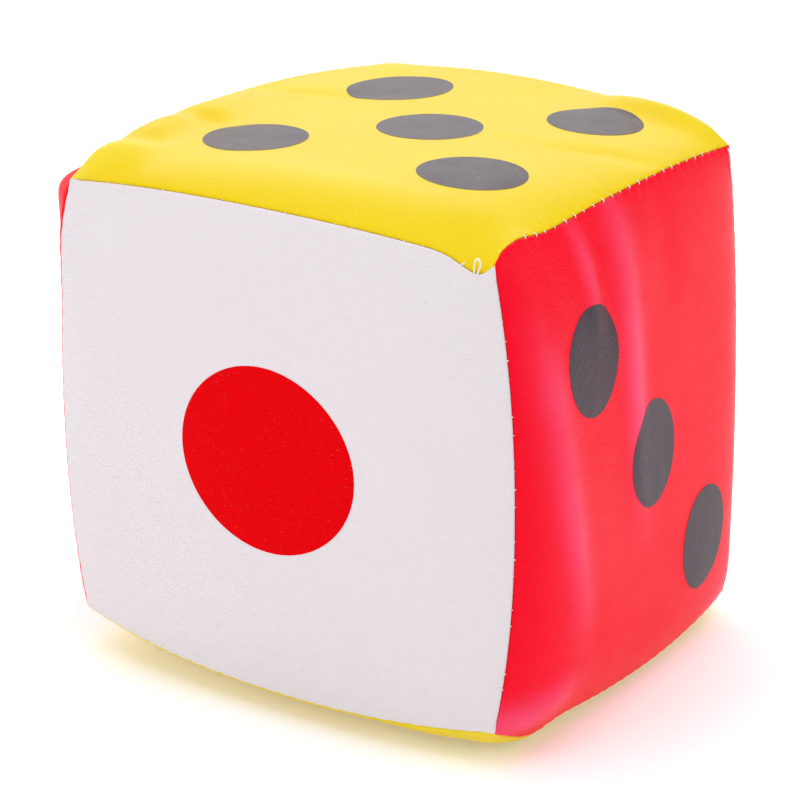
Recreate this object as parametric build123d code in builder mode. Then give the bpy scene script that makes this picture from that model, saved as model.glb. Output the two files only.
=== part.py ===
from build123d import *

import os
from math import degrees, sqrt

# Soft throwing die: six coated-fabric panels, printed, sewn edge to edge and stuffed with foam.
# Frame: origin on the floor under the middle of the die, +Z up, -Y towards the face with one pip,
# +X towards the face with three pips. Millimetres.

# ---- Driving dimensions -------------------------------------------------------------------------
across_faces = 150.0      # between the crowns of two opposite faces
face_radius = 300.0       # each stuffed face bulges as part of a ball of this radius
foot_depth = 3.0          # how much of the bottom face's crown is pressed flat

skin = 0.8                # coated fabric
allowance_depth = 6.5     # how deep the turned-in edge of a panel reaches under its face
fold_radius = 1.2         # outside of the fold where a panel turns in at a seam
seam_gap = 0.3            # from a turned-in edge to the mid-plane of its seam

stitch_count = 26         # stitches along one seam
stitch_depth = 2.8        # stitch line below the sharp edge where two faces would meet
stitch_half_angle = 13.1  # degrees from the middle of a seam to its last stitch
thread_width = 0.6
crossing_radius = 0.25    # of the stitches, where the thread is pulled tight through both panels
needle_hole_radius = 0.45
thread_clearance = 0.1    # between a thread and the fabric that it lies on
loose_end_radius = 0.2    # a single ply of the thread, where it stands out of a seam
closing_rise = 6.5        # of the thread left where the last seam was closed, above its stitch
closing_reach = 2.5
tail_rise = 6.0           # of the cut tail at the far upper corner, before it bends over
tail_drop = 5.0
loose_end_bend = 0.9
loose_end_start = 0.3     # just outside the stitch that it belongs to

ink = 0.2                 # depth of the printed layer, level with the fabric's face
ink_clearance = 0.05
small_pip = 28.5          # diameters
large_pip = 51.0
pip_step = 33.0           # from the middle of a print to a pip's column or row

core_clearance = 0.3      # between the foam and the fabric around it

# ---- Derived dimensions -------------------------------------------------------------------------
centre_height = across_faces / 2 - foot_depth
centre = Vector(0, 0, centre_height)
ball_offset = face_radius - across_faces / 2            # from the die's middle back to a ball's middle
edge_radius = sqrt(face_radius**2 - ball_offset**2 / 2)  # of the arc where two neighbouring balls meet
stitch_radius = edge_radius - stitch_depth
rail_half_angle = stitch_half_angle + degrees(thread_width / stitch_radius)
rail_offset = seam_gap + skin + thread_clearance
core_edge_radius = edge_radius - allowance_depth * sqrt(2) - core_clearance
wedge_base = 20.0
wedge_height = 60.0

# ---- Frames of the faces and the seams ----------------------------------------------------------
# A face's plane stands at the middle of the die, with z out through the face.
faces = {
    "front": Plane(centre, x_dir=(1, 0, 0), z_dir=(0, -1, 0)),
    "right": Plane(centre, x_dir=(0, 1, 0), z_dir=(1, 0, 0)),
    "back": Plane(centre, x_dir=(-1, 0, 0), z_dir=(0, 1, 0)),
    "left": Plane(centre, x_dir=(0, -1, 0), z_dir=(-1, 0, 0)),
    "top": Plane(centre, x_dir=(1, 0, 0), z_dir=(0, 0, 1)),
    "bottom": Plane(centre, x_dir=(1, 0, 0), z_dir=(0, 0, -1)),
}

seam_pairs = [
    ("top", "front"),
    ("top", "right"),
    ("top", "back"),
    ("top", "left"),
    ("bottom", "front"),
    ("bottom", "right"),
    ("bottom", "back"),
    ("bottom", "left"),
    ("front", "right"),
    ("right", "back"),
    ("back", "left"),
    ("left", "front"),
]


def seam_plane(first, second):
    """Mid-plane of a seam, from the middle of its arc: x points out through the seam, y along it."""
    outward = (faces[first].z_dir + faces[second].z_dir).normalized()
    across = faces[second].z_dir - faces[first].z_dir
    return Plane(centre - outward * ball_offset / sqrt(2), x_dir=outward, z_dir=across)


seams = {f"{first}_{second}": seam_plane(first, second) for first, second in seam_pairs}

# ---- Pips: where they stand on each face, in the face's own x and y ------------------------------
low_high = [(-pip_step, -pip_step), (pip_step, pip_step)]
high_low = [(-pip_step, pip_step), (pip_step, -pip_step)]
middle = [(0, 0)]
pips = {
    "front": middle,
    "bottom": low_high,
    "right": high_low + middle,
    "left": low_high + high_low,
    "top": low_high + high_low + middle,
    "back": [(x, y) for x in (-pip_step, pip_step) for y in (-pip_step, 0, pip_step)],
}
# How far the prints that are off the middle of their panels are shifted, in the same x and y.
print_shifts = {"front": (0.5, 1), "right": (1.5, -2.5), "top": (3, 4)}
# Loose ends: the route of each, out from the first stitch of its seam, in the seam's x and y.
loose_ends = {
    "top_front": [(loose_end_start, 0), (closing_rise, 0), (closing_rise, closing_reach)],
    "right_back": [(loose_end_start, 0), (tail_rise, 0), (tail_rise, tail_drop)],
}
counts = {"front": "one", "bottom": "two", "right": "three", "left": "four", "top": "five", "back": "six"}


# ---- Shapes shared by the pieces ----------------------------------------------------------------
def face_ball(face, inset):
    """Everything behind one face, to a depth of inset under its outside, above the flat foot."""
    with BuildPart() as ball:
        with Locations(face.offset(-ball_offset)):
            Sphere(face_radius - inset, rotation=(90, 0, 0))
        split(bisect_by=Plane.XY.offset(inset), keep=Keep.TOP)
    return ball.part


def face_wedge(name, inset, fold):
    """The wedge of the die behind one face, between the mid-planes of its four seams."""
    face = faces[name]
    ball = face_ball(face, inset)
    with BuildPart() as wedge:
        add(ball)
        split(bisect_by=face.offset(wedge_base), keep=Keep.TOP)
        for seam_name, seam in seams.items():
            first, second = seam_name.split("_")
            if name == first:
                split(bisect_by=seam.offset(-seam_gap - inset), keep=Keep.BOTTOM)
            elif name == second:
                split(bisect_by=seam.offset(seam_gap + inset), keep=Keep.TOP)
        open_edges = wedge.edges().filter_by(lambda edge: not edge.is_closed)
        base, corners, rim = open_edges.group_by(Axis(face.origin, face.z_dir))
        fillet(corners + rim, radius=fold)
    return wedge.part


def stitch_places():
    """The stitches of one seam, spaced along its arc."""
    sweep_angle = 2 * stitch_half_angle
    return PolarLocations(stitch_radius, stitch_count, -stitch_half_angle, sweep_angle, endpoint=True)


def pip_columns(face, name, radius_change):
    """Round columns out through a face, one for each of its pips."""
    radius = (large_pip if name == "front" else small_pip) / 2 + radius_change
    shift = print_shifts.get(name, (0, 0))
    with BuildPart() as columns:
        with BuildSketch(face.offset(wedge_base)):
            with Locations(shift):
                with Locations(*pips[name]):
                    Circle(radius)
        extrude(amount=wedge_height)
    return columns.part


os.makedirs("parts", exist_ok=True)

# ---- Panels: a fabric square with its edges turned in along the seams ----------------------------
for name, face in faces.items():
    outside = face_wedge(name, 0, fold_radius)
    inside = face_wedge(name, skin, fold_radius - skin)
    pockets = pip_columns(face, name, ink_clearance) - face_ball(face, ink + ink_clearance)

    with BuildPart() as panel:
        add(outside)
        add(inside, mode=Mode.SUBTRACT)
        with Locations(face.offset(-ball_offset)):
            Sphere(face_radius - allowance_depth, rotation=(90, 0, 0), mode=Mode.SUBTRACT)
        add(pockets, mode=Mode.SUBTRACT)
        for seam_name, seam in seams.items():
            if name in seam_name.split("_"):
                with BuildSketch(seam):
                    with stitch_places():
                        Circle(needle_hole_radius)
                extrude(amount=2 * skin, both=True, mode=Mode.SUBTRACT)

    panel.part.label = f"panel_{name}_{counts[name]}"
    export_step(panel.part, f"parts/{panel.part.label}.step")

# ---- Prints: the ink of each face's pips ---------------------------------------------------------
for name, face in faces.items():
    columns = pip_columns(face, name, 0)
    outer_ball = face_ball(face, 0)
    inner_ball = face_ball(face, ink)

    with BuildPart() as pip_print:
        add(columns)
        add(outer_ball, mode=Mode.INTERSECT)
        add(inner_ball, mode=Mode.SUBTRACT)

    pip_print.part.label = f"print_{name}_{counts[name]}"
    export_step(pip_print.part, f"parts/{pip_print.part.label}.step")

# ---- Seam threads: two rails under the turned-in edges, joined through the needle holes ----------
for seam_name, seam in seams.items():
    with BuildPart() as thread:
        for outward in (-1, 1):
            with BuildSketch(seam.offset(outward * rail_offset)):
                with BuildLine():
                    CenterArc((0, 0), stitch_radius, -rail_half_angle, 2 * rail_half_angle)
                trace(line_width=thread_width)
            extrude(amount=outward * thread_width)
        with BuildSketch(seam):
            with stitch_places():
                Circle(crossing_radius)
        extrude(amount=rail_offset, both=True)
        if seam_name in loose_ends:
            first_place = Vector(stitch_radius, 0).rotate(Axis.Z, -stitch_half_angle)
            first_stitch = Plane(seam.from_local_coords(first_place), x_dir=seam.x_dir, z_dir=seam.z_dir)
            with BuildLine(first_stitch) as strand:
                FilletPolyline(*loose_ends[seam_name], radius=loose_end_bend)
            with BuildSketch(Plane(strand.line @ 0, z_dir=strand.line % 0)):
                Circle(loose_end_radius)
            sweep(path=strand.line)

    thread.part.label = f"thread_{seam_name}"
    export_step(thread.part, f"parts/{thread.part.label}.step")

# ---- Foam core: a block that fills the cover, with its edges taken off for the turned-in fabric --
balls = [face_ball(face, skin + core_clearance) for face in faces.values()]

with BuildPart() as foam_core:
    with Locations(centre):
        Box(across_faces, across_faces, across_faces)
    for ball in balls:
        add(ball, mode=Mode.INTERSECT)
    for seam in seams.values():
        with Locations(seam):
            Cylinder(core_edge_radius, 2 * across_faces, mode=Mode.INTERSECT)

foam_core.part.label = "foam_core"
export_step(foam_core.part, "parts/foam_core.step")
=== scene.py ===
import math

import bmesh
import bpy
import numpy as np
from mathutils import Matrix, Vector


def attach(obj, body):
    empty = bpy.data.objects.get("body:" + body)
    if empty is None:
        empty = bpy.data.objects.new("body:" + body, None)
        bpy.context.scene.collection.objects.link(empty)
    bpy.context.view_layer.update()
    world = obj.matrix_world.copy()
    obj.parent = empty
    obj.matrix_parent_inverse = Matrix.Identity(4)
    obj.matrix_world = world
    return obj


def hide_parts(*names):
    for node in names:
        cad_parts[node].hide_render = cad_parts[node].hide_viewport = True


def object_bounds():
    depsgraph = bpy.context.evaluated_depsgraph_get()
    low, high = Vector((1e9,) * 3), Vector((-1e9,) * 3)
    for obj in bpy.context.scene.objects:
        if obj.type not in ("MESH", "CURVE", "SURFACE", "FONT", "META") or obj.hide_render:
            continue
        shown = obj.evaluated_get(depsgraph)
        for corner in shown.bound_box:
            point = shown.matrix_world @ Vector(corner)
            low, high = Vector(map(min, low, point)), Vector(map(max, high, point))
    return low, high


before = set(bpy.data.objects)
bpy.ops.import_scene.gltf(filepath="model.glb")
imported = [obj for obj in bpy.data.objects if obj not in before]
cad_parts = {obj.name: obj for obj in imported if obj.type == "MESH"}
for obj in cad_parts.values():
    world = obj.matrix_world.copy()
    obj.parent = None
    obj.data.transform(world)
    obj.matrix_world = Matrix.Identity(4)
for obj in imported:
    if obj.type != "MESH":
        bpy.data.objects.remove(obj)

# A soft throwing die. Shapes are worked out in millimetres from the middle of the die, with the
# same axes as the frame, and turned into metres in the frame when a mesh is made.

cad_low, cad_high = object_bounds()
scene = bpy.context.scene
MM = 0.001

# ---- Sizes (mm) ----------------------------------------------------------------------------------
ACROSS = round((cad_high[0] - cad_low[0]) / MM)          # between two opposite crowns
CENTRE = Vector((0, 0, cad_high[2] - ACROSS / 2 * MM))   # middle of the die, in metres
FACE_RADIUS = 2 * ACROSS                                 # of the ball that a CAD face is part of
BALL_OFFSET = FACE_RADIUS - ACROSS / 2                   # from the middle of the die to that of the ball
# Where three such balls meet: how far an even die's corner is from the middle, along each axis.
CORNER = (math.sqrt(3 * FACE_RADIUS**2 - 2 * BALL_OFFSET**2) - BALL_OFFSET) / 3
FOOT = -(CENTRE.z / MM)                                  # height of the floor

CELLS = 44                # of the simulated cover, along one panel
CUT = 135.0               # one panel, from seam to seam, before it is stuffed
FABRIC = 0.7              # thickness of the coated fabric
SPACING = 0.8             # of a finished panel's mesh
FOLD = 1.0                # how far from a seam the fabric starts to turn in
FOLD_STEPS = 6
TURN_IN = (2.0, 4.5)      # depths of the rows of mesh down the turned-in edge, under the fold
MITRE = 12.0              # the turned-in edges are cut back over this distance from a corner
LEAST_MITRE = 0.05        # share of them that is left at the corner itself
MITRED_FOLD = 3           # the fold itself is cut back this many times less
PARED = 12.0              # the fabric is pared thin over this distance from a corner
THINNEST = 0.15           # share of its thickness that is left at the corner itself
SEAM_GAP = 0.02           # from a turned-in edge to the middle of its seam

STITCHES = 26
FIRST_STITCH = 0.035      # place of the first stitch along a seam, as a share of its length
RAIL_START = 0.16         # of the thread that runs between the stitches, inside a seam
STITCH_DEPTH = 0.90
END_SINK = 1.0            # how much deeper the first and last stitches lie
SHOWN_SEAM = {"top", "right"}  # its stitches show, and pull harder
SHOWN_DEPTH = 0.50
THREAD = 0.18             # radius
PUCKER = 0.12             # how far a stitch pulls the fold in
SHOWN_PUCKER = 0.30
PUCKER_REACH = 2.2
PUCKER_SHARPNESS = 1.5    # of the dips at the stitches, along a seam

SMALL_PIP = 28.4          # diameters
LARGE_PIP = 50.8
INK = 0.08                # how far a print stands over the fabric

# ---- The six faces -------------------------------------------------------------------------------
# Each face has an x and a y direction, seen from outside, and points out along their cross product.
FACE_AXES = {
    "front": ((1, 0, 0), (0, 0, 1)),
    "right": ((0, 1, 0), (0, 0, 1)),
    "back": ((-1, 0, 0), (0, 0, 1)),
    "left": ((0, -1, 0), (0, 0, 1)),
    "top": ((1, 0, 0), (0, 1, 0)),
    "bottom": ((1, 0, 0), (0, -1, 0)),
}
COUNTS = {
    "front": "one", "right": "three", "back": "six", "left": "four", "top": "five", "bottom": "two",
}
COLOURS = {
    "front": "white", "right": "red", "back": "white", "left": "red", "top": "yellow", "bottom": "yellow",
}


def axes(face):
    x, y = (np.array(axis, float) for axis in FACE_AXES[face])
    return x, y, np.cross(x, y)


NORMALS = {face: axes(face)[2] for face in FACE_AXES}
SEAMS = [
    ("top", "front"), ("top", "right"), ("top", "back"), ("top", "left"),
    ("bottom", "front"), ("bottom", "right"), ("bottom", "back"), ("bottom", "left"),
    ("front", "right"), ("right", "back"), ("back", "left"), ("left", "front"),
]

# How far a corner is pulled from its place on an even die (mm, along the frame's axes). The one that
# isn't named is in its place.
CORNER_PULL = {
    ("front", "right", "top"): (1, 0, 0),
    ("front", "left", "top"): (-3, -2, -2),
    ("back", "right", "top"): (-4, -2, 0),
    ("back", "left", "top"): (4, 2, 1),
    ("front", "right", "bottom"): (3, 3, 0),
    ("front", "left", "bottom"): (-1, 0, 2),
    ("back", "right", "bottom"): (0, 0, -4),
}
# How far the middle of a seam bows out from the line between its corners, along the normals of its
# two faces (mm). The others bow out evenly.
EVEN_BOW = (5, 5)
SEAM_BOW = {
    ("top", "front"): (5, 6),
    ("top", "right"): (4, 2),
    ("top", "back"): (4, 7),
    ("top", "left"): (4, 7),
    ("bottom", "right"): (6, 2),
    ("front", "right"): (3, 8),
    ("right", "back"): (1, 3),
    ("left", "front"): (3, 3),
}
BOW_POWER = 2.2
# Where a seam is pushed aside near a corner: the face past that corner, the place and the width as
# shares of the seam, and the push (mm). It dies away into both panels.
SEAM_PUSHES = {
    ("top", "front"): ("right", 0.035, 0.045, (0, -0.3, -3.2)),
    ("top", "right"): ("front", 0.07, 0.08, (0, 0, 3)),
    ("bottom", "right"): ("front", 0.12, 0.09, (0, 0, -3)),
    ("left", "front"): ("top", 0.12, 0.1, (-1.5, 0, 0)),
}
PUSH_REACH = 10.0


def face_pair(first, second):
    return (first, second) if (first, second) in SEAMS else (second, first)


def corner_point(faces):
    place = sum(NORMALS[face] for face in faces) * CORNER
    pull = next((value for key, value in CORNER_PULL.items() if set(key) == set(faces)), (0, 0, 0))
    return place + np.array(pull, float)


def face_towards(direction):
    return max(NORMALS, key=lambda face: NORMALS[face] @ direction)


def plain_seam(first, second, end_a, end_b, t):
    """Points along the even bow of a seam, from its corner at face end_a to the one at face end_b."""
    start, stop = corner_point((first, second, end_a)), corner_point((first, second, end_b))
    pair = face_pair(first, second)
    bow_a, bow_b = SEAM_BOW.get(pair, EVEN_BOW)
    bow = bow_a * NORMALS[pair[0]] + bow_b * NORMALS[pair[1]]
    rise = 1 - np.abs(2 * t - 1) ** BOW_POWER
    return start * (1 - t)[:, None] + stop * t[:, None] + rise[:, None] * bow


def seam_push(first, second, end_b, t):
    """How far points along a seam are pushed aside."""
    if face_pair(first, second) not in SEAM_PUSHES:
        return np.zeros((len(t), 3))
    beside, place, width, push = SEAM_PUSHES[face_pair(first, second)]
    share = 1 - t if beside == end_b else t
    amount = np.exp(-(((share - place) / width) ** 2)) * (share * (1 - share) > 0)
    return amount[:, None] * push


def seam_curve(first, second, end_a, end_b, t):
    return plain_seam(first, second, end_a, end_b, t) + seam_push(first, second, end_b, t)


def fading(place):
    """How a push dies away at a place in from its seam, given as a share of the panel."""
    return np.exp(-((place * CUT / PUSH_REACH) ** 2))


def smooth_face(face, cells):
    """A face's smooth surface between its four seams, as a grid of points [x, y]."""
    x, y, _ = axes(face)
    east, west, north, south = (face_towards(d) for d in (x, -x, y, -y))
    t = np.linspace(0, 1, cells + 1)
    left, right = plain_seam(face, west, south, north, t), plain_seam(face, east, south, north, t)
    low, high = plain_seam(face, south, west, east, t), plain_seam(face, north, west, east, t)
    u, v = t[:, None, None], t[None, :, None]
    across = (1 - u) * left[None] + u * right[None]
    along = (1 - v) * low[:, None] + v * high[:, None]
    flat = (1 - u) * ((1 - v) * left[0] + v * left[-1]) + u * ((1 - v) * right[0] + v * right[-1])
    surface = across + along - flat
    for side, place in ((west, u), (east, 1 - u)):
        surface = surface + seam_push(face, side, north, t)[None] * fading(place)
    for side, place in ((south, v), (north, 1 - v)):
        surface = surface + seam_push(face, side, east, t)[:, None] * fading(place)
    return surface


# ---- The cover: one welded mesh, simulated under the pressure of its filling ---------------------
SIM_FRAMES = 24
SWELL_GAIN = 1.8          # the filling is firmer than the simulated air, so the edges swell more
SWELL_LIMIT = 3.2         # how far the filling lets a point move (mm)
# How a face's filling stands beyond the even swell of its panel (mm): in the middle, its tilt along
# the face's x and y, and how much it turns up again towards the seams along x and y.
CROWN = {
    "front": (-1, 0, 0, 0, 0),
    "right": (0, -2, -2, 3, 3),
    "top": (-4, 2, -3, 2, 3),
    "back": (0, 0, -1, 0, 0),
    "left": (0, -1, -1, 0, 0),
    "bottom": (-1, 0, 0, 0, 0),
}
CROWN_POWER = 4


class Cover:
    """The six panels as one mesh: points, quads, and each face's grid of point numbers."""

    def __init__(self, cells):
        t = np.linspace(-1, 1, cells + 1) * CUT / 2
        found, smooth, flat = {}, [], []
        self.numbers = {}
        for face in FACE_AXES:
            x, y, n = axes(face)
            cut = t[:, None, None] * x + t[None, :, None] * y + n * CUT / 2
            shaped = smooth_face(face, cells)
            number = np.zeros((cells + 1, cells + 1), int)
            for i, j in np.ndindex(number.shape):
                key = tuple(np.round(cut[i, j], 3) + 0.0)
                if key not in found:
                    found[key] = len(smooth)
                    smooth.append(shaped[i, j])
                    flat.append(cut[i, j])
                number[i, j] = found[key]
            self.numbers[face] = number
        self.smooth, self.flat = np.array(smooth), np.array(flat)
        self.quads = [
            (n[i, j], n[i + 1, j], n[i + 1, j + 1], n[i, j + 1])
            for n in self.numbers.values() for i in range(cells) for j in range(cells)
        ]
        borders = [part for n in self.numbers.values() for part in (n[0], n[-1], n[:, 0], n[:, -1])]
        self.seam_points = np.unique(np.concatenate(borders))


def simulate(cover):
    """Stuffs the cover: Blender's cloth, held at its seams and cut flat, with pressure inside."""
    data = bpy.data.meshes.new("cover_cloth")
    data.from_pydata((cover.smooth * MM).tolist(), [], cover.quads)
    cloth_object = bpy.data.objects.new("cover_cloth", data)
    scene.collection.objects.link(cloth_object)
    cloth_object.shape_key_add(name="Basis")
    cut = cloth_object.shape_key_add(name="cut")
    cut.data.foreach_set("co", (cover.flat * MM).ravel())
    held = cloth_object.vertex_groups.new(name="seams")
    held.add([int(k) for k in cover.seam_points], 1.0, "REPLACE")
    cloth = cloth_object.modifiers.new("cloth", "CLOTH")
    settings = cloth.settings
    settings.rest_shape_key = cut
    settings.vertex_group_mass = "seams"
    settings.quality = 6
    settings.mass = 0.3
    settings.tension_stiffness = settings.compression_stiffness = 60
    settings.shear_stiffness = 20
    settings.bending_stiffness = 0.5
    settings.tension_damping = settings.compression_damping = settings.shear_damping = 15
    settings.air_damping = 4
    settings.use_pressure = True
    settings.uniform_pressure_force = 2000
    settings.effector_weights.gravity = 0
    cloth.collision_settings.use_collision = False
    cloth.point_cache.frame_start, cloth.point_cache.frame_end = 1, SIM_FRAMES
    for number in range(1, SIM_FRAMES + 1):
        scene.frame_set(number)
    done = cloth_object.evaluated_get(bpy.context.evaluated_depsgraph_get()).to_mesh()
    points = np.zeros(len(done.vertices) * 3)
    done.vertices.foreach_get("co", points)
    scene.frame_set(1)
    bpy.data.objects.remove(cloth_object)
    return points.reshape(-1, 3) / MM


def swell(cover):
    """Each face's grid of points, stuffed."""
    t = np.linspace(-1, 1, CELLS + 1)
    u, v = t[:, None], t[None, :]
    hill = (1 - np.abs(u) ** CROWN_POWER) * (1 - np.abs(v) ** CROWN_POWER)
    moved = simulate(cover) - cover.smooth
    grids = {}
    for face, number in cover.numbers.items():
        n = axes(face)[2]
        out = moved[number] @ n
        limited = SWELL_LIMIT * np.tanh(SWELL_GAIN * out / SWELL_LIMIT)
        middle, tilt_x, tilt_y, curl_x, curl_y = CROWN[face]
        crown = middle + tilt_x * u + tilt_y * v + curl_x * u**2 + curl_y * v**2
        grids[face] = cover.smooth[number] + (limited + crown * hill)[..., None] * n
    return grids


# ---- Creases and dents, pressed into the swollen faces -------------------------------------------
# Each is a stroke in a face's own x and y (mm): its points, its width and how far it lifts.
STROKES = {
    "top": [
        ([(-60, -80), (-60, 6)], 7, 3.4),
        ([(-74, -76), (-48, -46)], 6, 2.2),
        ([(14, 59), (96, 64)], 6.5, 5.0),
        ([(-54, 52), (-40, 56)], 8, 1.5),
        ([(-5, 54), (25, 54)], 11, -1.0),
        ([(-68, -24), (-42, -19)], 4, -1.5),
        ([(-66, -48), (-48, -44)], 4, -1.2),
        ([(-66, 14), (-32, 22)], 4.5, -1.5),
        ([(18, 5), (40, 8), (64, 20)], 4, -1.2),
        ([(-30, -52), (30, -50)], 8, 0.7),
    ],
    "right": [
        ([(-31, 70), (-27, 34)], 3.2, 1.0),
        ([(-21, 72), (-19, 34)], 3.4, -1.2),
        ([(-11, 72), (-10, 38), (-7, 0), (-3, -22)], 5.5, 1.5),
        ([(-54, 44), (-48, 10), (-36, -42)], 5.5, 1.4),
        ([(-34, -54), (-74, -64)], 6, 2.4),
        ([(10, 66), (14, 30)], 7, -0.7),
        ([(40, -80), (66, -48)], 9, 1.0),
    ],
    "left": [
        ([(56, 84), (57, 28)], 7, 3.5),
        ([(80, 78), (44, 44)], 8, 3.5),
        ([(54, -38), (56, -80)], 6, 2.5),
        ([(-20, 60), (-16, 30)], 4, 0.7),
    ],
    "back": [
        ([(-24, 62), (-22, 34)], 4, 0.7),
        ([(10, -60), (14, -34)], 5, 0.6),
    ],
    "front": [
        ([(-56, 52), (-40, 50)], 8, 0.5),
    ],
    "bottom": [
        ([(30, 58), (60, 57), (62, 30)], 7, 2.6),
        ([(-20, 60), (-10, 40)], 6, 0.8),
    ],
}
FREE_REACH = 2.8          # the seams themselves hold still
STROKE_END = 0.02         # share of a stroke where it starts and stops
STROKE_FULLNESS = 0.6     # a smaller value keeps a stroke higher towards its ends
FLOOR_EASE = 1.5          # the underside eases onto the floor over this height (mm)


def stroke_lift(points, route, width, lift):
    """How far a stroke lifts each point: a smooth ridge or valley along a route, thin at its ends."""
    lifted = np.zeros(points.shape[:-1])
    route = np.array(route, float)
    lengths = np.r_[0, np.cumsum(np.linalg.norm(np.diff(route, axis=0), axis=1))]
    for k in range(len(route) - 1):
        a, d = route[k], route[k + 1] - route[k]
        share = np.clip(((points - a) @ d) / (d @ d), 0, 1)
        away = np.linalg.norm(points - a - share[..., None] * d, axis=-1)
        place = (lengths[k] + share * (lengths[k + 1] - lengths[k])) / lengths[-1]
        ends = np.sin(np.pi * np.clip(place, STROKE_END, 1 - STROKE_END)) ** STROKE_FULLNESS
        lifted = np.maximum(lifted, np.exp(-((away / width) ** 2)) * ends)
    return lift * lifted


def crease(face, grid):
    x, y, n = axes(face)
    points = np.stack([grid @ x, grid @ y], axis=-1)
    from_edge = (1 - np.abs(np.linspace(-1, 1, CELLS + 1))) * CUT / 2
    free = 1 - np.exp(-((from_edge / FREE_REACH) ** 2))
    free = np.outer(free, free)[..., None]
    for route, width, lift in STROKES[face]:
        grid = grid + stroke_lift(points, route, width, lift)[..., None] * free * n
    if face == "bottom":
        grid[..., 2] = FOOT + INK + soft_floor(grid[..., 2] - FOOT - INK)
    return grid


def soft_floor(height):
    """Keeps heights above the floor, easing into it."""
    eased = (np.clip(height, -FLOOR_EASE, FLOOR_EASE) + FLOOR_EASE) ** 2 / (4 * FLOOR_EASE)
    return np.where(height > FLOOR_EASE, height, eased)


# ---- Finished panels -----------------------------------------------------------------------------
def cubic_weights(f):
    """How much each of four points in a row counts, a share f from the second to the third."""
    return (
        (1 - f) ** 3 / 6,
        (3 * f**3 - 6 * f**2 + 4) / 6,
        (-3 * f**3 + 3 * f**2 + 3 * f + 1) / 6,
        f**3 / 6,
    )


def spline_rows(places, cells):
    """A matrix that reads a smooth cubic spline through rows of points at the given places."""
    rows = np.zeros((len(places), cells + 3))
    cell = np.clip(np.floor(places).astype(int), 0, cells - 1)
    for k, weight in enumerate(cubic_weights(places - cell)):
        np.add.at(rows, (np.arange(len(places)), cell + k), weight)
    inner = rows[:, 1:-1].copy()
    inner[:, 0] += 2 * rows[:, 0]
    inner[:, 1] -= rows[:, 0]
    inner[:, -1] += 2 * rows[:, -1]
    inner[:, -2] -= rows[:, -1]
    return inner


class Border:
    """The rows of a finished panel along one direction, in order: turned in, folded, flat and back."""

    def __init__(self):
        count = round((CUT - 2 * FOLD) / SPACING)
        flat = np.linspace(FOLD, CUT - FOLD, count + 1)
        turn = [1.0] * len(TURN_IN) + list(np.linspace(1, 0, FOLD_STEPS + 1)[:-1])
        depth = list(TURN_IN[::-1]) + [0.0] * FOLD_STEPS
        self.turn = np.array(turn)
        self.depth = np.array(depth)
        near = FOLD * (1 - self.turn)
        self.along = np.concatenate([near, flat, CUT - near[::-1]])
        self.count = len(turn)


BORDER = Border()


def unit(vectors):
    return vectors / np.maximum(np.linalg.norm(vectors, axis=-1, keepdims=True), 1e-9)


def stitch_places():
    return np.linspace(FIRST_STITCH, 1 - FIRST_STITCH, STITCHES)


def stitch_pull(share):
    """1 at a stitch and 0 between two, along a seam."""
    phase = (share - FIRST_STITCH) / (1 - 2 * FIRST_STITCH) * (STITCHES - 1)
    return ((1 + np.cos(2 * np.pi * phase)) / 2) ** PUCKER_SHARPNESS


def folded(base, edge, inner, n, direction):
    """How the first rows of a panel move, round its fold at a seam and down its turned-in edge."""
    inward, sideways = -unit(n + direction), unit(n - direction)
    turned = BORDER.turn[:, None, None]
    mitre = np.clip(np.minimum(BORDER.along, CUT - BORDER.along) / MITRE, LEAST_MITRE, 1)
    stop = edge + inward * FOLD * np.minimum(MITRED_FOLD * mitre, 1)[None, :, None] + sideways * SEAM_GAP
    cosine = (unit(inner - edge) * unit(stop - edge)).sum(-1, keepdims=True)
    half_angle = np.arccos(np.clip(cosine, -1, 1)) / 2
    shares = ((1 - turned) ** 2, 2 * turned * (1 - turned) * np.sin(half_angle), turned**2)
    arc = (shares[0] * inner + shares[1] * edge + shares[2] * stop) / sum(shares)
    return arc + inward * (BORDER.depth[:, None] * mitre)[..., None] - base


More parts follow.
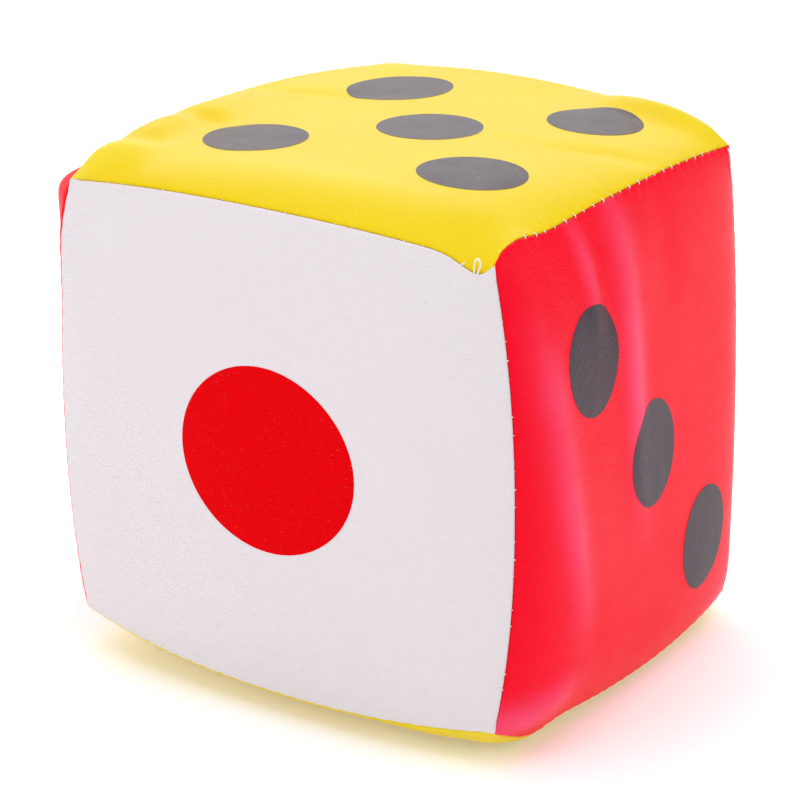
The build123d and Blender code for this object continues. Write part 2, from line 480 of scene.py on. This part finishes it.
class Panel:
    """A finished panel: its outside as a grid of points, for its mesh and for what lies on it."""

    def __init__(self, face, grid):
        x, y, n = axes(face)
        rows = spline_rows(BORDER.along / CUT * CELLS, CELLS)
        folds = spline_rows(np.array([0, FOLD, CUT - FOLD, CUT]) / CUT * CELLS, CELLS)
        base = np.einsum("ai,ijk,bj->abk", rows, grid, rows)
        west, west_in, east_in, east = np.einsum("ai,ijk,bj->abk", folds, grid, rows)
        south, south_in, north_in, north = np.einsum("ai,ijk,bj->bak", rows, grid, folds)
        count = BORDER.count
        points = base.copy()
        points[:count] += folded(base[:count], west, west_in, n, -x)
        points[-count:] += folded(base[:-count - 1:-1], east, east_in, n, x)[::-1]
        turned = base.transpose(1, 0, 2)
        points[:, :count] += folded(turned[:count], south, south_in, n, -y).transpose(1, 0, 2)
        points[:, -count:] += folded(turned[:-count - 1:-1], north, north_in, n, y)[::-1].transpose(1, 0, 2)
        along, share = BORDER.along, BORDER.along / CUT
        pulls = (
            (-x, along[:, None], share[None, :]), (x, CUT - along[:, None], share[None, :]),
            (-y, along[None, :], share[:, None]), (y, CUT - along[None, :], share[:, None]),
        )
        for direction, distance, place in pulls:
            shown = {face, face_towards(direction)} == SHOWN_SEAM
            strength = SHOWN_PUCKER if shown else PUCKER
            pull = strength * np.exp(-((distance / PUCKER_REACH) ** 2)) * stitch_pull(place)
            points -= pull[..., None] * unit(n + direction)
        self.face, self.points = face, points
        self.normals = unit(np.cross(np.gradient(points, axis=0), np.gradient(points, axis=1)))
        from_seam = np.minimum(along, CUT - along)
        self.seam_distance = np.minimum.outer(from_seam, from_seam)
        self.corner_distance = np.hypot.outer(from_seam, from_seam)

    def at(self, a, b):
        """Points and normals of the outside at places a, b, in millimetres of cut fabric."""
        count = BORDER.count
        flat = BORDER.along[count:-count]
        i, j = (np.interp(place, flat, np.arange(len(flat))) + count for place in (a, b))
        i0, j0 = i.astype(int), j.astype(int)
        fi, fj = (i - i0)[..., None], (j - j0)[..., None]

        def read(grid):
            return sum(
                weight_i * weight_j * grid[i0 + di - 1, j0 + dj - 1]
                for di, weight_i in enumerate(cubic_weights(fi))
                for dj, weight_j in enumerate(cubic_weights(fj))
            )

        return read(self.points), unit(read(self.normals))


# ---- Meshes --------------------------------------------------------------------------------------
SHARP_ANGLE = math.radians(60)
TUBE_GUIDE = np.array([0.31, 0.52, 0.79])   # a direction that no thread runs along


def make_mesh(name, points, quads, material, node):
    """A piece in the frame, in metres, from points in millimetres round the middle of the die."""
    data = bpy.data.meshes.new(name)
    vertices = np.asarray(points) * MM + np.array(CENTRE)
    data.from_pydata(vertices.tolist(), [], [list(map(int, quad)) for quad in quads])
    data.polygons.foreach_set("use_smooth", [True] * len(data.polygons))
    data.validate()
    data.update()
    data.set_sharp_from_angle(angle=SHARP_ANGLE)
    piece = bpy.data.objects.new(name, data)
    scene.collection.objects.link(piece)
    data.materials.append(material)
    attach(piece, "root")
    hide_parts(node)
    return piece


def grid_quads(rows, columns, start=0, around=False):
    """Quads of a grid of points, closed into a ring along its columns if around."""
    i = np.arange(rows - 1)[:, None]
    j = np.arange(columns if around else columns - 1)[None, :]
    k = (j + 1) % columns
    quads = [i * columns + j, (i + 1) * columns + j, (i + 1) * columns + k, i * columns + k]
    return np.stack([np.broadcast_to(q, (rows - 1, j.shape[1])) for q in quads], -1).reshape(-1, 4) + start


def shell(outside, inside):
    """A closed sheet between two grids of points: its points and quads."""
    rows, columns = outside.shape[:2]
    total = rows * columns
    top = grid_quads(rows, columns)
    under = grid_quads(rows, columns, total)[:, ::-1]
    number = np.arange(total).reshape(rows, columns)
    rim = np.concatenate([number[:-1, 0], number[-1, :-1], number[:0:-1, -1], number[0, :0:-1]])
    after = np.roll(rim, -1)
    walls = np.stack([after, rim, rim + total, after + total], -1)
    points = np.concatenate([outside.reshape(-1, 3), inside.reshape(-1, 3)])
    return points, np.concatenate([top, under, walls])


def tube(route, radius, sides=8):
    """A round tube with closed ends along a route of points: its points and faces."""
    route = np.asarray(route, float)
    tangent = unit(np.gradient(route, axis=0))
    side = unit(np.cross(tangent, TUBE_GUIDE))
    other = np.cross(tangent, side)
    angle = np.linspace(0, 2 * np.pi, sides, endpoint=False)
    ring = np.cos(angle)[None, :, None] * side[:, None] + np.sin(angle)[None, :, None] * other[:, None]
    points = (route[:, None] + radius * ring).reshape(-1, 3)
    faces = [list(quad) for quad in grid_quads(len(route), sides, around=True)[:, ::-1]]
    faces.append(list(range(sides))[::-1])
    faces.append(list(range(len(points) - sides, len(points))))
    return points, faces


def joined(parts):
    points, faces, start = [], [], 0
    for part_points, part_faces in parts:
        points.append(part_points)
        faces += [[int(k) + start for k in face] for face in part_faces]
        start += len(part_points)
    return np.concatenate(points), faces


# ---- Materials -----------------------------------------------------------------------------------
class Nodes:
    """Short names for building a material's nodes."""

    def __init__(self, name):
        self.material = bpy.data.materials.new(name)
        self.material.use_nodes = True
        self.tree = self.material.node_tree
        self.shader = self.tree.nodes["Principled BSDF"]

    def add(self, kind, **settings):
        node = self.tree.nodes.new(kind)
        for key, value in settings.items():
            setattr(node, key, value)
        return node

    def link(self, source, target):
        self.tree.links.new(source, target)

    def put(self, socket, value):
        if isinstance(value, bpy.types.NodeSocket):
            self.link(value, socket)
        else:
            socket.default_value = value

    def math(self, operation, first, second=0.0, third=0.0):
        node = self.add("ShaderNodeMath", operation=operation)
        for socket, value in zip(node.inputs, (first, second, third)):
            self.put(socket, value)
        return node.outputs[0]

    def noise(self, scale, detail=2.0, roughness=0.5):
        node = self.add("ShaderNodeTexNoise")
        self.link(self.place, node.inputs["Vector"])
        node.inputs["Scale"].default_value = scale
        node.inputs["Detail"].default_value = detail
        node.inputs["Roughness"].default_value = roughness
        return node.outputs["Fac"]

    def mix(self, share, first, second, amount=1.0):
        """From the first colour to the second by a share, turned down by an amount."""
        node = self.add("ShaderNodeMix", data_type="RGBA")
        self.put(node.inputs["Factor"], share if amount == 1.0 else self.math("MULTIPLY", share, amount))
        self.put(node.inputs["A"], first)
        self.put(node.inputs["B"], second)
        return next(output for output in node.outputs if output.type == "RGBA")

    def steps(self, value, low, high):
        """0 below low and 1 above high."""
        node = self.add("ShaderNodeMapRange")
        self.put(node.inputs["Value"], value)
        node.inputs["From Min"].default_value = low
        node.inputs["From Max"].default_value = high
        return node.outputs["Result"]

    def spots(self, scale, low, high):
        """Small scattered spots: 1 in a spot and 0 between."""
        return self.steps(self.noise(scale, 1, 0.4), low, high)

    def peel(self):
        """The fine unevenness of a glossy coating."""
        return self.bump(self.noise(170, 2, 0.5), 0.6 * MM, 0.12)

    def bump(self, height, distance, strength, below=None):
        node = self.add("ShaderNodeBump")
        self.put(node.inputs["Height"], height)
        node.inputs["Distance"].default_value = distance
        node.inputs["Strength"].default_value = strength
        if below is not None:
            self.link(below, node.inputs["Normal"])
        return node.outputs["Normal"]


def rgb(red, green, blue):
    return (red, green, blue, 1.0)


YARN = 0.6 * MM           # pitch of the weave under the coating
WEAVE_HEIGHT = 0.15 * MM  # as far as it shows through
COAT = 0.03               # a thin glossy film over the vinyl
COAT_ROUGHNESS = 0.16
DUST_COLOUR = rgb(0.10, 0.08, 0.08)
PINHOLE_COLOUR = rgb(0.45, 0.42, 0.42)
VINYL = {   # colour, where it is deeper, where paler, the pale colour of the painted highlight streaks laid along ridges, and its shine
    "white": (
        rgb(0.77, 0.715, 0.745), rgb(0.74, 0.685, 0.715),
        rgb(0.825, 0.785, 0.81), rgb(0.80, 0.755, 0.78), 0.20,
    ),
    "yellow": (
        rgb(0.83, 0.63, 0.010), rgb(0.80, 0.55, 0.004),
        rgb(0.88, 0.74, 0.08), rgb(0.86, 0.70, 0.06), 0.04,
    ),
    "red": (
        rgb(0.92, 0.001, 0.022), rgb(0.89, 0.001, 0.012),
        rgb(0.94, 0.02, 0.09), rgb(0.94, 0.10, 0.24), 0.05,
    ),
}
BLACK_INK = rgb(0.010, 0.004, 0.008), rgb(0.066, 0.030, 0.052), 0.20   # colour, paler, and shine
RED_INK = rgb(0.74, 0.0005, 0.002), rgb(0.78, 0.001, 0.004), 0.01


def weave(nodes, face):
    """The height of a plain weave, in the plane of a face."""
    x, y, _ = axes(face)
    coordinates = nodes.add("ShaderNodeTexCoord")
    nodes.place = coordinates.outputs["Object"]
    waves = []
    for direction in (x, y):
        dot = nodes.add("ShaderNodeVectorMath", operation="DOT_PRODUCT")
        nodes.link(nodes.place, dot.inputs[0])
        dot.inputs[1].default_value = direction * math.pi / YARN
        wobble = nodes.math("MULTIPLY_ADD", nodes.noise(120, 1), 1.6, dot.outputs["Value"])
        waves.append(nodes.math("ABSOLUTE", nodes.math("SINE", wobble)))
    return nodes.math("MULTIPLY", nodes.math("ADD", *waves), 0.5)


def vinyl(name, face, colour, deep, pale, highlight_tint, shine):
    """Glossy coated fabric: its weave shows through, it is a little worn and dusty at seams, and pale
    painted highlight streaks run along its ridges.
    """
    nodes = Nodes(name)
    height = weave(nodes, face)
    broad = nodes.steps(nodes.noise(28, 3, 0.55), 0.35, 0.7)
    mottle = nodes.steps(nodes.noise(420, 3, 0.6), 0.3, 0.75)
    tint = nodes.mix(broad, colour, deep, 0.55)
    tint = nodes.mix(mottle, tint, pale, 0.12)
    tint = nodes.mix(height, tint, deep, 0.50)
    seam = nodes.add("ShaderNodeAttribute", attribute_name="seam_wear")
    rubbed = nodes.math("MULTIPLY", seam.outputs["Fac"], nodes.steps(nodes.noise(700, 3, 0.7), 0.3, 0.8))
    tint = nodes.mix(rubbed, tint, deep, 0.35)
    # Painted highlight: pale streaks along the ridges, in place of the glossy reflections of the lamps.
    ridge = nodes.add("ShaderNodeAttribute", attribute_name="ridge").outputs["Fac"]
    highlight_streaks = nodes.math("MULTIPLY", ridge, nodes.math("MULTIPLY_ADD", broad, 0.5, 0.5))
    tint = nodes.mix(highlight_streaks, tint, highlight_tint, 0.8)
    specks = nodes.spots(2300, 0.745, 0.79)
    tint = nodes.mix(specks, tint, pale, 0.30)
    dust = nodes.spots(1500, 0.75, 0.80)
    tint = nodes.mix(dust, tint, DUST_COLOUR, 0.22)
    shader = nodes.shader
    nodes.link(tint, shader.inputs["Base Color"])
    gloss = nodes.math("MULTIPLY_ADD", nodes.noise(60, 3, 0.6), 0.14, 0.26)
    gloss = nodes.math("MULTIPLY_ADD", rubbed, 0.2, gloss)
    nodes.link(gloss, shader.inputs["Roughness"])
    orange_peel = nodes.peel()
    grain = nodes.bump(height, WEAVE_HEIGHT, 0.8, orange_peel)
    nodes.link(grain, shader.inputs["Normal"])
    shader.inputs["Specular IOR Level"].default_value = shine
    shader.inputs["Coat Weight"].default_value = COAT
    shader.inputs["Coat Roughness"].default_value = COAT_ROUGHNESS
    nodes.link(orange_peel, shader.inputs["Coat Normal"])
    return nodes.material


def printed_ink(name, face, colour, pale, shine):
    """Screen-printed ink over the weave, with pinholes and a slight haze."""
    nodes = Nodes(name)
    height = weave(nodes, face)
    haze = nodes.steps(nodes.noise(90, 4, 0.65), 0.35, 0.75)
    tint = nodes.mix(haze, colour, pale, 0.35)
    tint = nodes.mix(height, tint, pale, 0.75)
    pinholes = nodes.spots(2600, 0.75, 0.79)
    tint = nodes.mix(pinholes, tint, PINHOLE_COLOUR, 0.35)
    shader = nodes.shader
    nodes.link(tint, shader.inputs["Base Color"])
    nodes.link(nodes.math("MULTIPLY_ADD", haze, 0.12, 0.27), shader.inputs["Roughness"])
    nodes.link(nodes.bump(height, WEAVE_HEIGHT, 0.9, nodes.peel()), shader.inputs["Normal"])
    shader.inputs["Specular IOR Level"].default_value = shine
    return nodes.material


def thread_material():
    """White spun thread, twisted and a little fuzzy."""
    nodes = Nodes("sewing_thread")
    nodes.place = nodes.add("ShaderNodeTexCoord").outputs["Object"]
    twist = nodes.noise(2500, 2, 0.6)
    tint = nodes.mix(nodes.steps(twist, 0.3, 0.7), rgb(0.93, 0.92, 0.90), rgb(0.74, 0.72, 0.70))
    nodes.link(tint, nodes.shader.inputs["Base Color"])
    nodes.link(nodes.math("MULTIPLY_ADD", twist, 0.2, 0.6), nodes.shader.inputs["Roughness"])
    nodes.link(nodes.bump(twist, 0.1 * MM, 0.6), nodes.shader.inputs["Normal"])
    nodes.shader.inputs["Sheen Weight"].default_value = 0.3
    return nodes.material


def foam_material():
    """Pale open-cell foam."""
    nodes = Nodes("filling_foam")
    nodes.place = nodes.add("ShaderNodeTexCoord").outputs["Object"]
    cells = nodes.add("ShaderNodeTexVoronoi")
    nodes.link(nodes.place, cells.inputs["Vector"])
    cells.inputs["Scale"].default_value = 900
    pores = nodes.steps(cells.outputs["Distance"], 0.15, 0.5)
    tint = nodes.mix(pores, rgb(0.55, 0.50, 0.38), rgb(0.90, 0.86, 0.72))
    tint = nodes.mix(nodes.noise(40, 3), tint, rgb(0.80, 0.70, 0.48), 0.3)
    nodes.link(tint, nodes.shader.inputs["Base Color"])
    nodes.link(nodes.bump(pores, 0.4 * MM, 0.8), nodes.shader.inputs["Normal"])
    nodes.shader.inputs["Roughness"].default_value = 0.95
    nodes.shader.inputs["Sheen Weight"].default_value = 0.2
    return nodes.material


# ---- Pieces --------------------------------------------------------------------------------------
grids = swell(Cover(CELLS))
panels = {face: Panel(face, crease(face, grid)) for face, grid in grids.items()}
thread_finish = thread_material()

FULL_HIGHLIGHT = 1.5          # lift at which a ridge's painted highlight is at full strength (mm)
ROLL = 3.0                # a lift from here on is a loose roll and gets no painted highlight
WEAR_REACH = 2.5          # how far a seam's wear reaches in from its fold


def highlight_ridges(panel):
    """How strongly the painted highlight lies along a panel's ridges, from 0 to 1."""
    x, y, _ = axes(panel.face)
    points = np.stack([panel.points @ x, panel.points @ y], axis=-1)
    raised = np.zeros(points.shape[:-1])
    for route, width, lift in STROKES[panel.face]:
        if 0 < lift < ROLL:
            raised = np.maximum(raised, stroke_lift(points, route, width, min(lift / FULL_HIGHLIGHT, 1)))
    return raised


def panel_piece(face):
    panel = panels[face]
    thickness = FABRIC * np.clip(panel.corner_distance / PARED, THINNEST, 1)
    inside = panel.points - thickness[..., None] * panel.normals
    points, quads = shell(panel.points, inside)
    colour = COLOURS[face]
    name = f"{face}_panel"
    material = vinyl(f"{colour}_vinyl_{face}", face, *VINYL[colour])
    piece = make_mesh(name, points, quads, material, f"panel_{face}_{COUNTS[face]}")
    wear = np.exp(-np.maximum(panel.seam_distance - FOLD / 2, 0) / WEAR_REACH).ravel()
    # The ridge attribute carries the painted highlight streaks along the ridges.
    for label, values in (("seam_wear", wear), ("ridge", highlight_ridges(panel).ravel())):
        attribute = piece.data.attributes.new(label, "FLOAT", "POINT")
        attribute.data.foreach_set("value", np.concatenate([values, values]))


PIP_STEP = 33.0           # from the middle of a print to a pip's column or row, on the cut fabric
PRINT_SHIFTS = {"front": (1, 1), "right": (2, -2), "top": (3, 4)}   # of a print's middle (mm)
PRINT_TURNS = {"top": 2.5}                                          # in degrees
PRINT_STRETCH = {"right": 1.05}                                     # of the panel, and its print
FIRST_RING = 0.16         # radius of the innermost ring of a disc's mesh, as a share of the disc's
LARGE_SIDES = 96
SMALL_SIDES = 56
CORNER_PIPS = [(-1, -1), (-1, 1), (1, -1), (1, 1)]
PIP_PLACES = {            # in steps from the middle of a print
    "one": [(0, 0)],
    "two": [(-1, -1), (1, 1)],
    "three": [(-1, 1), (0, 0), (1, -1)],
    "four": CORNER_PIPS,
    "five": CORNER_PIPS + [(0, 0)],
    "six": CORNER_PIPS + [(-1, 0), (1, 0)],
}


def disc(panel, centre, radius, rings, sides):
    """One printed pip: a thin closed disc that follows its panel."""
    ring = np.linspace(FIRST_RING, 1, rings)[:, None] * radius
    angle = np.linspace(0, 2 * np.pi, sides, endpoint=False)[None]
    a = np.r_[centre[0], (centre[0] + ring * np.cos(angle)).ravel()]
    b = np.r_[centre[1], (centre[1] + ring * np.sin(angle)).ravel()]
    points, normals = panel.at(CUT / 2 + a, CUT / 2 + b)
    total = len(points)
    pairs = [(k, (k + 1) % sides) for k in range(sides)]
    fan = [[0, 1 + k, 1 + after] for k, after in pairs]
    quads = [list(quad) for quad in grid_quads(rings, sides, 1, around=True)]
    top = fan + quads
    under = [[k + total for k in face[::-1]] for face in top]
    last = 1 + (rings - 1) * sides
    walls = [[last + after, last + k, last + k + total, last + after + total] for k, after in pairs]
    return np.concatenate([points + INK * normals, points - INK * normals]), top + under + walls


def print_piece(face):
    large = face == "front"
    radius = (LARGE_PIP if large else SMALL_PIP) / 2
    shift = np.array(PRINT_SHIFTS.get(face, (0, 0)))
    turn = math.radians(PRINT_TURNS.get(face, 0))
    turned = np.array([[math.cos(turn), math.sin(turn)], [-math.sin(turn), math.cos(turn)]])
    step = PIP_STEP * PRINT_STRETCH.get(face, 1)
    pips = np.array(PIP_PLACES[COUNTS[face]]) @ turned * step + shift
    sides = LARGE_SIDES if large else SMALL_SIDES
    discs = [disc(panels[face], pip, radius, round(radius), sides) for pip in pips]
    colours, slot = (RED_INK, "red_ink") if large else (BLACK_INK, "black_ink")
    points, faces = joined(discs)
    material = printed_ink(f"{slot}_{face}", face, *colours)
    make_mesh(f"{face}_pips", points, faces, material, f"print_{face}_{COUNTS[face]}")


SLANT = 0.3               # most that a stitch leans along its seam
SLANT_CHANGE = 2.4        # of the lean from one stitch to the next, in radians
UNEVEN = 0.24             # most that a stitch lies deeper or higher than the others
UNEVEN_CHANGE = 1.7       # of that from one stitch to the next, in radians
ENDS = 2                  # stitches at each end that lie deeper
BAR = [(-0.8, 1.0), (-0.45, 0.25), (0, 0), (0.45, 0.25), (0.8, 1.0)]   # across a seam, and its dip
RAIL_POINTS = 160
RAIL_SIDES = 6
RAIL_DEPTH = FOLD + 1.0
RAIL_GAP = 0.05           # from the fabric to the thread that runs behind it
LOOSE_THREAD = 0.22       # radius of a loose end, which is less tight
# Loose ends near the last stitch of a seam, each a route out of it, across it and back along it (mm).
LOOSE_ENDS = {
    ("top", "front"): [
        [(-1.5, 1.0, 0.6), (0.2, -0.4, 0.6), (1.3, -1.5, 0.5), (2.4, -2.3, 0), (2.6, -2.4, -0.9),
         (1.5, -1.4, -1.5), (0.3, -0.4, -0.7), (-1.5, 1.0, 0)],
        [(-1.5, 0.8, 4.6), (0.1, 0, 4.6), (0.7, -0.5, 4.2), (1.2, -1.1, 3.3)],
    ],
    ("right", "back"): [
        [(-1.8, -1.8, -3.8), (-1.4, -2.8, -3.0), (-1.2, -3.0, -1.0), (-0.9, -2.6, 1.4), (-0.4, -2.0, 3.9)],
    ],
}


def seam_frame(first, second, share):
    """Points along a seam, with the directions out of it and across it."""
    along = np.cross(NORMALS[first], NORMALS[second])
    ends = face_towards(-along), face_towards(along)
    curve = seam_curve(first, second, *ends, np.linspace(0, 1, CELLS + 1))
    points = spline_rows(np.asarray(share, float) * CELLS, CELLS) @ curve
    return points, unit(NORMALS[first] + NORMALS[second]), unit(NORMALS[second] - NORMALS[first]), along


def thread_piece(first, second):
    places, out, across, along = seam_frame(first, second, stitch_places())
    depth = SHOWN_DEPTH if {first, second} == SHOWN_SEAM else STITCH_DEPTH
    parts = []
    for k, place in enumerate(places):
        slant, sunk = SLANT * math.sin(SLANT_CHANGE * k), UNEVEN * math.sin(UNEVEN_CHANGE * k)
        sunk += END_SINK * max(0, 1 - min(k, STITCHES - 1 - k) / ENDS)
        lean = across + along * slant
        bar = [place - out * (depth + sunk + dip) + lean * side for side, dip in BAR]
        parts.append(tube(bar, THREAD))
    rail_share = np.linspace(RAIL_START, 1 - RAIL_START, RAIL_POINTS)
    rail = seam_frame(first, second, rail_share)[0]
    for side in (-1, 1):
        offset = side * (SEAM_GAP + FABRIC + THREAD + RAIL_GAP)
        parts.append(tube(rail - out * RAIL_DEPTH + across * offset, THREAD, RAIL_SIDES))
    for route in LOOSE_ENDS.get((first, second), []):
        points = smooth_route(np.array([places[-1] + out * o + across * c - along * a for o, c, a in route]))
        parts.append(tube(points, LOOSE_THREAD))
    points, faces = joined(parts)
    name = f"{first}_{second}_thread"
    make_mesh(name, points, faces, thread_finish, f"thread_{first}_{second}")


def smooth_route(points, steps=8):
    """A smooth line through a few points."""
    cells = len(points) - 1
    return spline_rows(np.linspace(0, cells, cells * steps + 1), cells) @ points


FOAM_GAP = 0.6                                           # between the fabric and the foam
FOAM_UNDER = FABRIC + FOAM_GAP
SEAM_OUT = math.sqrt(2) * CORNER + 2.0                   # from the middle of the die to a seam's ends
EDGE_ROOM = 1.5                                          # past the turned-in edges
FOAM_EDGE = SEAM_OUT - FOLD - TURN_IN[-1] - EDGE_ROOM    # where the foam's edges are taken off
FOAM_WELD = 2.2 * MM                                     # closes the gap between two of its faces


def foam_piece():
    """The filling, just under the fabric, with its edges taken off for the turned-in fabric."""
    parts = []
    for face, grid in grids.items():
        points = crease(face, grid)
        normal = unit(np.cross(np.gradient(points, axis=0), np.gradient(points, axis=1)))
        points = points - FOAM_UNDER * normal
        for a, b in ((0, 1), (1, 2), (0, 2)):
            away = np.abs(points[..., a]) + np.abs(points[..., b])
            past = np.maximum(away - FOAM_EDGE * math.sqrt(2), 0) / 2
            for axis in (a, b):
                points[..., axis] -= np.sign(points[..., axis]) * past
        parts.append((points.reshape(-1, 3), grid_quads(CELLS + 1, CELLS + 1)))
    points, faces = joined(parts)
    piece = make_mesh("foam_filling", points, faces, foam_material(), "foam_core")
    weld(piece)


def weld(piece):
    """Closes the gaps between the six faces of the filling."""
    mesh = bmesh.new()
    mesh.from_mesh(piece.data)
    bmesh.ops.remove_doubles(mesh, verts=mesh.verts, dist=FOAM_WELD)
    bmesh.ops.recalc_face_normals(mesh, faces=mesh.faces)
    mesh.to_mesh(piece.data)
    mesh.free()


for face in FACE_AXES:
    panel_piece(face)
    print_piece(face)
for pair in SEAMS:
    thread_piece(*pair)
foam_piece()

# ---- Floor, light and camera ---------------------------------------------------------------------
HALF_FLOOR = 6.0                      # metres
FLOOR_GLOW = 0.18
TENT_LIGHT = 0.62
SOFTBOXES = {   # place and size in metres, and power in watts
    "overhead": ((0, 0, 2.2), (2.5, 2.5), 30),
    "key": ((-0.6, -1.5, 0.9), (0.9, 0.9), 5),
    "side": ((1.3, 0.8, 0.3), (0.5, 0.8), 4),
    "back": ((-1.2, 1.6, 0.8), (1.4, 0.8), 11),
}
CAMERA_ANGLES = (34.0, 20.7, 1.05)    # azimuth, elevation and roll, in degrees
CAMERA_DISTANCE = 0.966               # metres
CAMERA_LEFT, CAMERA_DOWN = 4.4, 4.9   # off the line to the middle of the die (mm)
SENSOR, LENS = 36.0, 164.0            # mm


def studio_floor():
    data = bpy.data.meshes.new("studio_floor")
    corners = [(x * HALF_FLOOR, y * HALF_FLOOR, 0) for x, y in ((-1, -1), (1, -1), (1, 1), (-1, 1))]
    data.from_pydata(corners, [], [(0, 1, 2, 3)])
    floor = bpy.data.objects.new("studio_floor", data)
    scene.collection.objects.link(floor)
    nodes = Nodes("studio_floor")
    nodes.shader.inputs["Base Color"].default_value = rgb(0.93, 0.93, 0.93)
    nodes.shader.inputs["Roughness"].default_value = 0.9
    nodes.shader.inputs["Emission Color"].default_value = rgb(1, 1, 1)
    nodes.shader.inputs["Emission Strength"].default_value = FLOOR_GLOW
    data.materials.append(nodes.material)


def softbox(name, place, size, power):
    """A soft area light that faces the die."""
    data = bpy.data.lights.new(name, "AREA")
    data.shape, data.size, data.size_y = "RECTANGLE", *size
    data.energy = power
    lamp = bpy.data.objects.new(name, data)
    lamp.location = place
    lamp.rotation_euler = (CENTRE - Vector(place)).to_track_quat("-Z", "Y").to_euler()
    scene.collection.objects.link(lamp)


def white_tent():
    world = bpy.data.worlds.new("white_tent")
    world.use_nodes = True
    world.node_tree.nodes["Background"].inputs["Color"].default_value = rgb(1, 1, 1)
    world.node_tree.nodes["Background"].inputs["Strength"].default_value = TENT_LIGHT
    scene.world = world


def camera():
    azimuth, elevation, roll = (math.radians(angle) for angle in CAMERA_ANGLES)
    back = Vector((math.sin(azimuth) * math.cos(elevation), -math.cos(azimuth) * math.cos(elevation),
                   math.sin(elevation)))
    right = Vector((math.cos(azimuth), math.sin(azimuth), 0))
    up = back.cross(right)
    right, up = (math.cos(roll) * right + math.sin(roll) * up, math.cos(roll) * up - math.sin(roll) * right)
    data = bpy.data.cameras.new("camera")
    data.sensor_width, data.lens = SENSOR, LENS
    eye = bpy.data.objects.new("camera", data)
    place = CENTRE + back * CAMERA_DISTANCE - right * CAMERA_LEFT * MM - up * CAMERA_DOWN * MM
    eye.matrix_world = Matrix.Translation(place) @ Matrix((right, up, back)).transposed().to_4x4()
    scene.collection.objects.link(eye)
    scene.camera = eye


studio_floor()
white_tent()
for name, values in SOFTBOXES.items():
    softbox(name, *values)
camera()
scene.view_settings.view_transform = "Standard"
